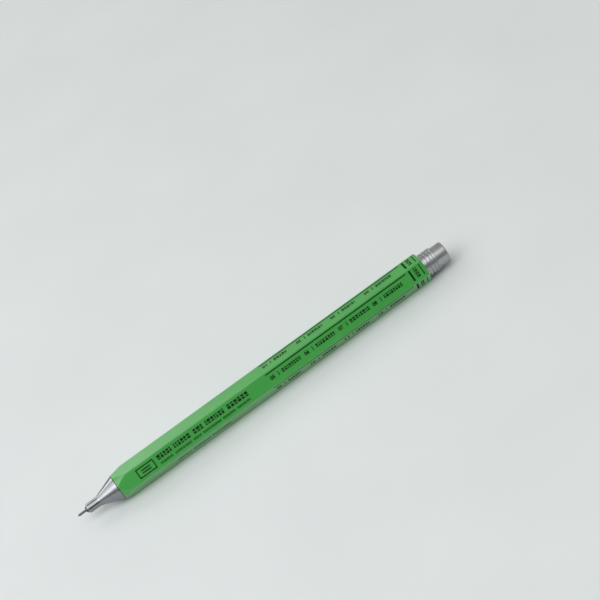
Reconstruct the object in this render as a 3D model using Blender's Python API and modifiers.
"""A hexagonal metal click gel pen, modelled with its writing tip out.

The pen lies along X on one of its flats: the tip points to -X, the push button to +X, and Z is up.
Sizes are in millimetres. A station is a distance along the pen, counted from the needle's tip.
"""

import math

import bmesh
import bpy
from mathutils import Matrix

MM = 0.001

# Driving dimensions
LENGTH = 137.5
FLAT_TO_FLAT = 8.7
CORNER_ROUNDING = 0.3
BARREL_BORE_R = 3.6
BARREL_MOUTH_R = 4.3
SHOULDER_CURVE = 1.15
REAR_ROUND_LENGTH = 1.0
REAR_ROUND_DEPTH = 1.2
FIT = 0.05
RUNNING_FIT = 0.075
CLICK_TRAVEL = 5.0

# Stations of the pieces that show
NEEDLE_FRONT = 0.15
TIP_BODY_FRONT = 2.85
NOSE_FRONT = 3.65
NOSE_TAPER = 7.6
BARREL_FRONT = 14.95
SHOULDER_END = 19.4
BARREL_REAR = 129.15
FERRULE_HEAD = 129.65
FERRULE_REAR = 133.45
GROOVES = (130.65, 131.85, 132.9)

# Stations of the pieces inside
SPRING_SEAT = 12.2
REFILL_SHOULDER = 25.5
REFILL_TAIL = 98.4
HOUSING_FRONT = REFILL_TAIL + CLICK_TRAVEL + 0.9
LEDGE_FRONT = 109.1
LEDGE_REAR = 119.6
BORE_STEP = 120.0
HOUSING_REAR = 120.85
BUTTON_FRONT = 124.5
SPIGOT_REAR = 23.0

# Radii of the refill and the click mechanism
BALL_R = 0.25
NEEDLE_R = 0.4
TIP_BODY_R = 1.05
HOLDER_R = 1.7
TUBE_R = 2.95
TUBE_BORE_R = 2.35
LEDGE_R = 2.35
HOUSING_BORE_R = 2.8
FERRULE_BORE_R = 3.475
REAR_BORE_R = FERRULE_BORE_R + 0.325
BUTTON_R = FERRULE_BORE_R - RUNNING_FIT
BUTTON_BORE_R = 3.0
SPIGOT_R = 3.05
SPIGOT_BORE_R = 2.6
ROTOR_PIN_R = 1.65
TIP_BORE_R = 0.65

# Facets round a full turn
STEPS = 36
SMALL_STEPS = 24
TINY_STEPS = 16

COLOURS = {
    "green_paint": ((0.03, 0.33, 0.04), 0.38, 0.0),
    "satin_steel": ((0.62, 0.64, 0.65), 0.28, 1.0),
    "bright_steel": ((0.70, 0.71, 0.72), 0.18, 1.0),
    "brass": ((0.72, 0.55, 0.25), 0.30, 1.0),
    "spring_steel": ((0.52, 0.53, 0.55), 0.30, 1.0),
    "clear_plastic": ((0.78, 0.80, 0.80), 0.25, 0.0),
    "white_plastic": ((0.80, 0.80, 0.78), 0.45, 0.0),
    "grey_plastic": ((0.32, 0.33, 0.34), 0.50, 0.0),
    "black_ink": ((0.01, 0.01, 0.012), 0.20, 0.0),
    "grease": ((0.75, 0.70, 0.50), 0.15, 0.0),
    "carbide": ((0.25, 0.25, 0.27), 0.15, 1.0),
}


def clear_scene():
    for item in list(bpy.data.objects):
        bpy.data.objects.remove(item)


def new_collection(name):
    group = bpy.data.collections.new(name)
    bpy.context.scene.collection.children.link(group)
    return group


def make_materials():
    made = {}
    for name, (colour, roughness, metallic) in COLOURS.items():
        material = bpy.data.materials.new(name)
        material.use_nodes = True
        shader = material.node_tree.nodes["Principled BSDF"]
        shader.inputs["Base Color"].default_value = (*colour, 1.0)
        shader.inputs["Roughness"].default_value = roughness
        shader.inputs["Metallic"].default_value = metallic
        material.diffuse_color = (*colour, 1.0)
        made[name] = material
    return made


def along(station):
    """A station's place on the object's own Z axis, which the pen's X axis becomes."""
    return (station - LENGTH / 2) * MM


def place(item, material=None):
    """Lays an object along the pen's axis, among the pen's parts or, with no material, the cutters."""
    item.rotation_euler = (0, math.radians(90), 0)
    item.location = (0, 0, FLAT_TO_FLAT / 2 * MM)
    if material is None:
        CUTTERS.objects.link(item)
        item.hide_render = True
        item.display_type = "WIRE"
    else:
        PEN.objects.link(item)
        item.data.materials.append(MATERIALS[material])
    return item


def turned(name, outer, bore=(), material=None, steps=STEPS):
    """A turned solid from (station, radius) points, both lists running from front to rear."""
    points = list(reversed(outer)) + list(bore)
    form = bmesh.new()
    corners = [form.verts.new((radius * MM, 0, along(station))) for station, radius in points]
    for first, second in zip(corners, corners[1:]):
        form.edges.new((first, second))
    if points[0][1] > 0:
        form.edges.new((corners[-1], corners[0]))
    mesh = bpy.data.meshes.new(name)
    form.to_mesh(mesh)
    form.free()
    item = bpy.data.objects.new(name, mesh)
    turn = item.modifiers.new("Turn", "SCREW")
    turn.axis = "Z"
    turn.angle = math.tau
    turn.steps = steps
    turn.render_steps = steps
    turn.use_merge_vertices = True
    turn.merge_threshold = 0.000001
    turn.use_smooth_shade = True
    return place(item, material)


def boolean(item, tool, operation):
    change = item.modifiers.new(operation.title(), "BOOLEAN")
    change.operation = operation
    change.object = tool


def bar_across(name, front, rear, reach, width, angle, tilt=0):
    """A bar through the pen's axis, for slots, notches and ribs.

    front and rear are its stations and reach is its half length. It turns by tilt about its own
    length, then by angle about the pen's axis.
    """
    form = bmesh.new()
    bmesh.ops.create_cube(form, size=1)
    size = Matrix.Diagonal((2 * reach * MM, width * MM, (rear - front) * MM))
    turn = Matrix.Rotation(angle, 3, "Z") @ Matrix.Rotation(tilt, 3, "X")
    bmesh.ops.transform(form, matrix=(turn @ size).to_4x4(), verts=form.verts)
    bmesh.ops.translate(form, vec=(0, 0, along((front + rear) / 2)), verts=form.verts)
    mesh = bpy.data.meshes.new(name)
    form.to_mesh(mesh)
    form.free()
    return place(bpy.data.objects.new(name, mesh))


def wire(name, points, thickness, material):
    """A bent wire along (station, x, y) points, x and y being across the pen."""
    curve = bpy.data.curves.new(name, "CURVE")
    curve.dimensions = "3D"
    curve.bevel_depth = thickness / 2 * MM
    curve.bevel_resolution = 2
    curve.use_fill_caps = True
    line = curve.splines.new("POLY")
    line.points.add(len(points) - 1)
    for spot, (station, x, y) in zip(line.points, points):
        spot.co = (x * MM, y * MM, along(station), 1)
    return place(bpy.data.objects.new(name, curve), material)


def coil_points(front, rear, radius, closed_pitch, turns, closed_turns, per_turn):
    """Points along a compression spring whose first and last turns lie close together."""
    open_turns = turns - 2 * closed_turns
    open_pitch = (rear - front - 2 * closed_turns * closed_pitch) / open_turns
    points = []
    station = front
    for index in range(turns * per_turn + 1):
        done = index / per_turn
        angle = done * math.tau
        points.append((station, radius * math.cos(angle), radius * math.sin(angle)))
        in_closed_turn = done < closed_turns or done >= turns - closed_turns
        station += (closed_pitch if in_closed_turn else open_pitch) / per_turn
    return points


def hexagonal_bar(front, rear):
    """A six-sided bar with rounded long edges, one of its flats facing down."""
    corner_r = FLAT_TO_FLAT / 2 / math.cos(math.radians(30))
    form = bmesh.new()
    bmesh.ops.create_cone(
        form,
        cap_ends=True,
        segments=6,
        radius1=corner_r * MM,
        radius2=corner_r * MM,
        depth=(rear - front) * MM,
        matrix=Matrix.Translation((0, 0, along((front + rear) / 2))),
    )
    corner = next(iter(form.verts)).co
    to_flat = math.radians(30) - math.atan2(corner.y, corner.x)
    bmesh.ops.rotate(form, matrix=Matrix.Rotation(to_flat, 3, "Z"), verts=form.verts)
    bmesh.ops.bevel(
        form,
        geom=[edge for edge in form.edges if edge.calc_length() > 2 * corner_r * MM],
        offset=CORNER_ROUNDING * math.tan(math.radians(30)) * MM,
        offset_type="OFFSET",
        segments=2,
        profile=0.5,
        affect="EDGES",
    )
    mesh = bpy.data.meshes.new("barrel")
    form.to_mesh(mesh)
    form.free()
    return place(bpy.data.objects.new("barrel", mesh), "green_paint")


def barrel_envelope():
    """The turned outline that the barrel's ends are brought down to."""
    corner_r = FLAT_TO_FLAT / 2 / math.cos(math.radians(30))
    clear_r = corner_r + 1
    outline = [(BARREL_FRONT - 1, 0), (BARREL_FRONT - 1, BARREL_MOUTH_R)]
    front_points = 8
    for index in range(front_points + 1):
        share = 1 - index / front_points
        station = SHOULDER_END - share * (SHOULDER_END - BARREL_FRONT)
        outline.append((station, corner_r - (corner_r - BARREL_MOUTH_R) * share**SHOULDER_CURVE))
    outline.append((SHOULDER_END + 1, clear_r))
    outline.append((BARREL_REAR - REAR_ROUND_LENGTH - 1, clear_r))
    rear_points = 4
    for index in range(rear_points + 1):
        angle = math.radians(75) * index / rear_points
        station = BARREL_REAR - REAR_ROUND_LENGTH * (1 - math.sin(angle) / math.sin(math.radians(75)))
        outline.append((station, corner_r - REAR_ROUND_DEPTH * (1 - math.cos(angle))))
    last_r = outline[-1][1]
    outline += [(BARREL_REAR + 1, last_r), (BARREL_REAR + 1, 0)]
    return turned("barrel_envelope", outline)


def make_barrel():
    """A thin hexagonal tube, turned to a round mouth in front and rounded off at the rear."""
    barrel = hexagonal_bar(BARREL_FRONT, BARREL_REAR)
    boolean(barrel, barrel_envelope(), "INTERSECT")
    bore = [
        (BARREL_FRONT - 2, 0),
        (BARREL_FRONT - 2, BARREL_BORE_R),
        (BORE_STEP, BARREL_BORE_R),
        (BORE_STEP, REAR_BORE_R),
        (BARREL_REAR + 2, REAR_BORE_R),
        (BARREL_REAR + 2, 0),
    ]
    boolean(barrel, turned("barrel_bore", bore), "DIFFERENCE")


def make_thread_bush():
    """A brass sleeve fixed in the barrel's mouth, which the nose screws into."""
    outer_r = BARREL_BORE_R - FIT
    bore_r = SPIGOT_R + FIT
    chamfer = 0.15
    front = BARREL_FRONT + 0.2
    outer = [
        (front, outer_r - chamfer),
        (front + chamfer, outer_r),
        (SPIGOT_REAR + 0.5, outer_r),
    ]
    bore = [
        (front, bore_r),
        (SPIGOT_REAR + 0.5, bore_r),
    ]
    turned("thread_bush", outer, bore, "brass")


def make_nose():
    """The nose: a short cylinder, a plain cone and a spigot that screws into the barrel."""
    front_r = 1.6
    front_chamfer = 0.3
    rear = BARREL_FRONT - FIT
    neck_rear = BARREL_FRONT + 0.5
    outer = [
        (NOSE_FRONT, front_r - front_chamfer),
        (NOSE_FRONT + front_chamfer, front_r),
        (NOSE_TAPER, front_r),
        (rear, BARREL_MOUTH_R),
        (rear, SPIGOT_R - 0.2),
        (neck_rear, SPIGOT_R - 0.2),
        (neck_rear, SPIGOT_R),
        (SPIGOT_REAR - 0.3, SPIGOT_R),
        (SPIGOT_REAR, SPIGOT_R - 0.2),
    ]
    tip_clearance = 0.2
    holder_pocket = 9.9
    bore = [
        (NOSE_FRONT, TIP_BODY_R + tip_clearance),
        (holder_pocket, TIP_BODY_R + tip_clearance),
        (holder_pocket, HOLDER_R + tip_clearance),
        (SPRING_SEAT, HOLDER_R + tip_clearance),
        (SPRING_SEAT, SPIGOT_BORE_R),
        (SPIGOT_REAR, SPIGOT_BORE_R),
    ]
    turned("nose_cone", outer, bore, "satin_steel")


def make_ferrule():
    """The rear collar: a thin sleeve fixed in the barrel, with a grooved head behind it."""
    neck_r = 3.65
    head_r = 3.9
    groove_depth = 0.22
    groove_half = 0.18
    groove_slope = 0.06
    chamfer = 0.1
    sleeve_r = REAR_BORE_R - FIT
    outer = [
        (HOUSING_REAR + FIT, sleeve_r),
        (BARREL_REAR - 0.3, sleeve_r),
        (BARREL_REAR - 0.2, neck_r),
        (FERRULE_HEAD, neck_r),
        (FERRULE_HEAD, head_r - chamfer),
        (FERRULE_HEAD + chamfer, head_r),
    ]
    for middle in GROOVES:
        outer.append((middle - groove_half - groove_slope, head_r))
        outer.append((middle - groove_half + groove_slope, head_r - groove_depth))
        outer.append((middle + groove_half - groove_slope, head_r - groove_depth))
        outer.append((middle + groove_half + groove_slope, head_r))
    outer.append((FERRULE_REAR - chamfer, head_r))
    outer.append((FERRULE_REAR, head_r - chamfer))
    bore = [
        (HOUSING_REAR + FIT, FERRULE_BORE_R),
        (FERRULE_REAR, FERRULE_BORE_R),
    ]
    turned("rear_ferrule", outer, bore, "satin_steel")


def make_button():
    """The push button: a metal cup, closed and rounded at the rear."""
    edge_r = 0.45
    end_wall = 1.1
    outer = [
        (BUTTON_FRONT, BUTTON_R - 0.1),
        (BUTTON_FRONT + 0.1, BUTTON_R),
    ]
    edge_points = 4
    for index in range(edge_points + 1):
        angle = math.radians(90) * index / edge_points
        station = LENGTH - edge_r * (1 - math.sin(angle))
        outer.append((station, BUTTON_R - edge_r * (1 - math.cos(angle))))
    outer.append((LENGTH, 0))
    bore = [
        (BUTTON_FRONT, BUTTON_BORE_R),
        (LENGTH - end_wall, BUTTON_BORE_R),
        (LENGTH - end_wall, 0),
    ]
    turned("push_button", outer, bore, "satin_steel")


def make_plunger():
    """The plastic plunger fixed in the button, with guide ribs and a toothed crown in front."""
    crown_front = LEDGE_FRONT
    crown_r = LEDGE_R - 0.15
    stem_r = crown_r - 0.1
    rib_front = LEDGE_FRONT + 1.5
    rib_rear = LEDGE_REAR - CLICK_TRAVEL - 0.4
    head_front = BUTTON_FRONT + 0.4
    head_rear = head_front + 9.6
    pin_bore_r = ROTOR_PIN_R + 0.1
    pin_bore_rear = LEDGE_FRONT + 5
    outer = [
        (crown_front, crown_r),
        (rib_rear + 1, crown_r),
        (rib_rear + 1, stem_r),
        (head_front, stem_r),
        (head_front, BUTTON_BORE_R - FIT - 0.2),
        (head_front + 0.2, BUTTON_BORE_R - FIT),
        (head_rear, BUTTON_BORE_R - FIT),
        (head_rear, 0),
    ]
    bore = [
        (crown_front, pin_bore_r),
        (pin_bore_rear, pin_bore_r),
        (pin_bore_rear, 0),
    ]
    plunger = turned("plunger", outer, bore, "grey_plastic", SMALL_STEPS)
    for index in range(2):
        rib = bar_across(f"plunger_rib_{index}", rib_front, rib_rear, 2.6, 1.5, math.radians(90) * index)
        hole = [
            (rib_front - 1, 0),
            (rib_front - 1, pin_bore_r + 0.05),
            (rib_rear + 1, pin_bore_r + 0.05),
            (rib_rear + 1, 0),
        ]
        boolean(rib, turned(f"plunger_rib_hole_{index}", hole, steps=SMALL_STEPS), "DIFFERENCE")
        boolean(plunger, rib, "UNION")
    cut_teeth(plunger, "plunger_notch", crown_front)


def cut_teeth(item, name, station):
    """Eight V notches round an end face, cut by four square bars lying on edge across it."""
    bar_width = 0.7
    for index in range(4):
        half = bar_width / 2
        angle = math.radians(45) * index
        notch = bar_across(
            f"{name}_{index}", station - half, station + half, 4, bar_width, angle, math.radians(45)
        )
        boolean(item, notch, "DIFFERENCE")


def make_rotor():
    """The cam rotor, which pushes the refill and catches under the housing's ledges."""
    front = REFILL_TAIL + FIT
    rear = LEDGE_FRONT - 0.1
    flange_r = HOUSING_BORE_R - 0.2
    outer = [
        (front, 0),
        (front, flange_r - 0.2),
        (front + 0.2, flange_r),
        (front + 1.5, flange_r),
        (front + 1.5, 1.8),
        (rear - 2.5, 1.8),
        (rear - 2.5, 2.0),
        (rear, 2.0),
        (rear, ROTOR_PIN_R),
        (LEDGE_FRONT + 3.8, ROTOR_PIN_R),
        (LEDGE_FRONT + 4, ROTOR_PIN_R - 0.2),
        (LEDGE_FRONT + 4, 0),
    ]
    rotor = turned("cam_rotor", outer, (), "white_plastic", SMALL_STEPS)
    for index in range(2):
        angle = math.radians(45 + 90 * index)
        boolean(rotor, bar_across(f"rotor_rib_{index}", rear - 3.5, rear, 2.2, 1.2, angle), "UNION")


def make_housing():
    """The fixed cam housing: a sleeve whose rear half has four slots with ledges between them."""
    outer_r = BARREL_BORE_R - FIT
    flange_r = REAR_BORE_R - FIT
    outer = [
        (HOUSING_FRONT, outer_r - 0.2),
        (HOUSING_FRONT + 0.2, outer_r),
        (BORE_STEP + FIT, outer_r),
        (BORE_STEP + FIT, flange_r),
        (HOUSING_REAR, flange_r),
    ]
    bore = [
        (HOUSING_FRONT, HOUSING_BORE_R),
        (LEDGE_FRONT, HOUSING_BORE_R),
        (LEDGE_FRONT, LEDGE_R),
        (HOUSING_REAR, LEDGE_R),
    ]
    housing = turned("cam_housing", outer, bore, "white_plastic")
    for index in range(2):
        slot = bar_across(
            f"housing_slot_{index}", LEDGE_FRONT - 1, LEDGE_REAR, 2.76, 1.9, math.radians(90) * index
        )
        boolean(housing, slot, "DIFFERENCE")


def make_refill():
    """A plastic gel refill with a needle point: holder, tube, ink, follower, plug and metal tip."""
    needle_rear = 6.5
    holder_front = 11.5
    tip_rear = 16.0
    tube_front = REFILL_SHOULDER + 1.1
    holder_rear = tube_front + 5
    ink_rear = 78.0
    follower_rear = 84.0
    tube_rear = REFILL_TAIL - 1.1
    plug_front = tube_rear - 5
    filling_r = TUBE_BORE_R - 0.04
    passage_r = 0.8

    turned(
        "refill_holder",
        [
            (holder_front, HOLDER_R - 0.15),
            (holder_front + 0.15, HOLDER_R),
            (REFILL_SHOULDER, HOLDER_R),
            (REFILL_SHOULDER, TUBE_R - 0.1),
            (REFILL_SHOULDER + 0.1, TUBE_R),
            (tube_front - FIT, TUBE_R),
            (tube_front - FIT, TUBE_BORE_R - FIT),
            (holder_rear, TUBE_BORE_R - FIT),
        ],
        [
            (holder_front, TIP_BODY_R + 0.03),
            (tip_rear + 0.05, TIP_BODY_R + 0.03),
            (tip_rear + 0.05, passage_r),
            (holder_rear, passage_r),
        ],
        "white_plastic",
        SMALL_STEPS,
    )
    turned(
        "ink_tube",
        [(tube_front, TUBE_R), (tube_rear, TUBE_R)],
        [(tube_front, TUBE_BORE_R), (tube_rear, TUBE_BORE_R)],
        "clear_plastic",
    )
    turned(
        "gel_ink",
        [
            (tip_rear + 0.2, 0),
            (tip_rear + 0.2, passage_r - 0.04),
            (holder_rear + FIT, passage_r - 0.04),
            (holder_rear + FIT, filling_r),
            (ink_rear, filling_r),
            (ink_rear, 0),
        ],
        (),
        "black_ink",
        SMALL_STEPS,
    )
    turned(
        "ink_follower",
        [
            (ink_rear + FIT, 0),
            (ink_rear + FIT, filling_r),
            (follower_rear, filling_r),
            (follower_rear, 0),
        ],
        (),
        "grease",
        SMALL_STEPS,
    )
    vent_r = 0.6
    turned(
        "tail_plug",
        [
            (plug_front, TUBE_BORE_R - FIT),
            (tube_rear + FIT, TUBE_BORE_R - FIT),
            (tube_rear + FIT, TUBE_R),
            (REFILL_TAIL - 0.2, TUBE_R),
            (REFILL_TAIL, TUBE_R - 0.2),
        ],
        [(plug_front, vent_r), (REFILL_TAIL, vent_r)],
        "grey_plastic",
        SMALL_STEPS,
    )
    turned(
        "tip_body",
        [
            (TIP_BODY_FRONT, NEEDLE_R + 0.25),
            (TIP_BODY_FRONT + 0.35, TIP_BODY_R),
            (tip_rear, TIP_BODY_R),
        ],
        [
            (TIP_BODY_FRONT, NEEDLE_R + 0.03),
            (needle_rear + FIT, NEEDLE_R + 0.03),
            (needle_rear + FIT, TIP_BORE_R),
            (tip_rear, TIP_BORE_R),
        ],
        "bright_steel",
        SMALL_STEPS,
    )
    seat_r = BALL_R + 0.03
    ink_way_r = 0.2
    ball_rear = 2 * BALL_R
    turned(
        "needle_tube",
        [
            (NEEDLE_FRONT, NEEDLE_R - 0.12),
            (NEEDLE_FRONT + 0.4, NEEDLE_R),
            (needle_rear, NEEDLE_R),
        ],
        [
            (NEEDLE_FRONT, BALL_R - 0.01),
            (NEEDLE_FRONT + 0.08, seat_r),
            (ball_rear + 0.02, seat_r),
            (ball_rear + 0.04, ink_way_r),
            (needle_rear, ink_way_r),
        ],
        "bright_steel",
        TINY_STEPS,
    )


def make_ball():
    """The writing ball, its origin at its centre because it rolls there."""
    form = bmesh.new()
    bmesh.ops.create_uvsphere(form, u_segments=TINY_STEPS, v_segments=10, radius=BALL_R * MM)
    mesh = bpy.data.meshes.new("writing_ball")
    form.to_mesh(mesh)
    form.free()
    mesh.shade_smooth()
    ball = place(bpy.data.objects.new("writing_ball", mesh), "carbide")
    ball.location.x = along(BALL_R)


def make_springs():
    """The return spring round the refill, and the fine spring that holds the ball on its seat."""
    thickness = 0.35
    front = SPRING_SEAT + thickness / 2 + 0.02
    rear = REFILL_SHOULDER - thickness / 2 - 0.02
    mean_r = HOLDER_R + 0.25 + thickness / 2
    wire(
        "return_spring",
        coil_points(front, rear, mean_r, thickness + 0.04, 10, 1, 12),
        thickness,
        "spring_steel",
    )
    fine = 0.12
    coil_front = 7.0
    coil_rear = 15.6
    fine_r = TIP_BORE_R - 0.15
    rod = [(2 * BALL_R + 0.04, 0, 0), (coil_front - 0.3, 0, 0)]
    coil = coil_points(coil_front, coil_rear, fine_r, 0.2, 7, 1, 9)
    wire("ball_spring", rod + coil, fine, "spring_steel")


clear_scene()
PEN = new_collection("gel_pen")
CUTTERS = new_collection("gel_pen_cutters")
MATERIALS = make_materials()

make_barrel()
make_thread_bush()
make_nose()
make_ferrule()
make_housing()
make_rotor()
make_plunger()
make_button()
make_refill()
make_ball()
make_springs()
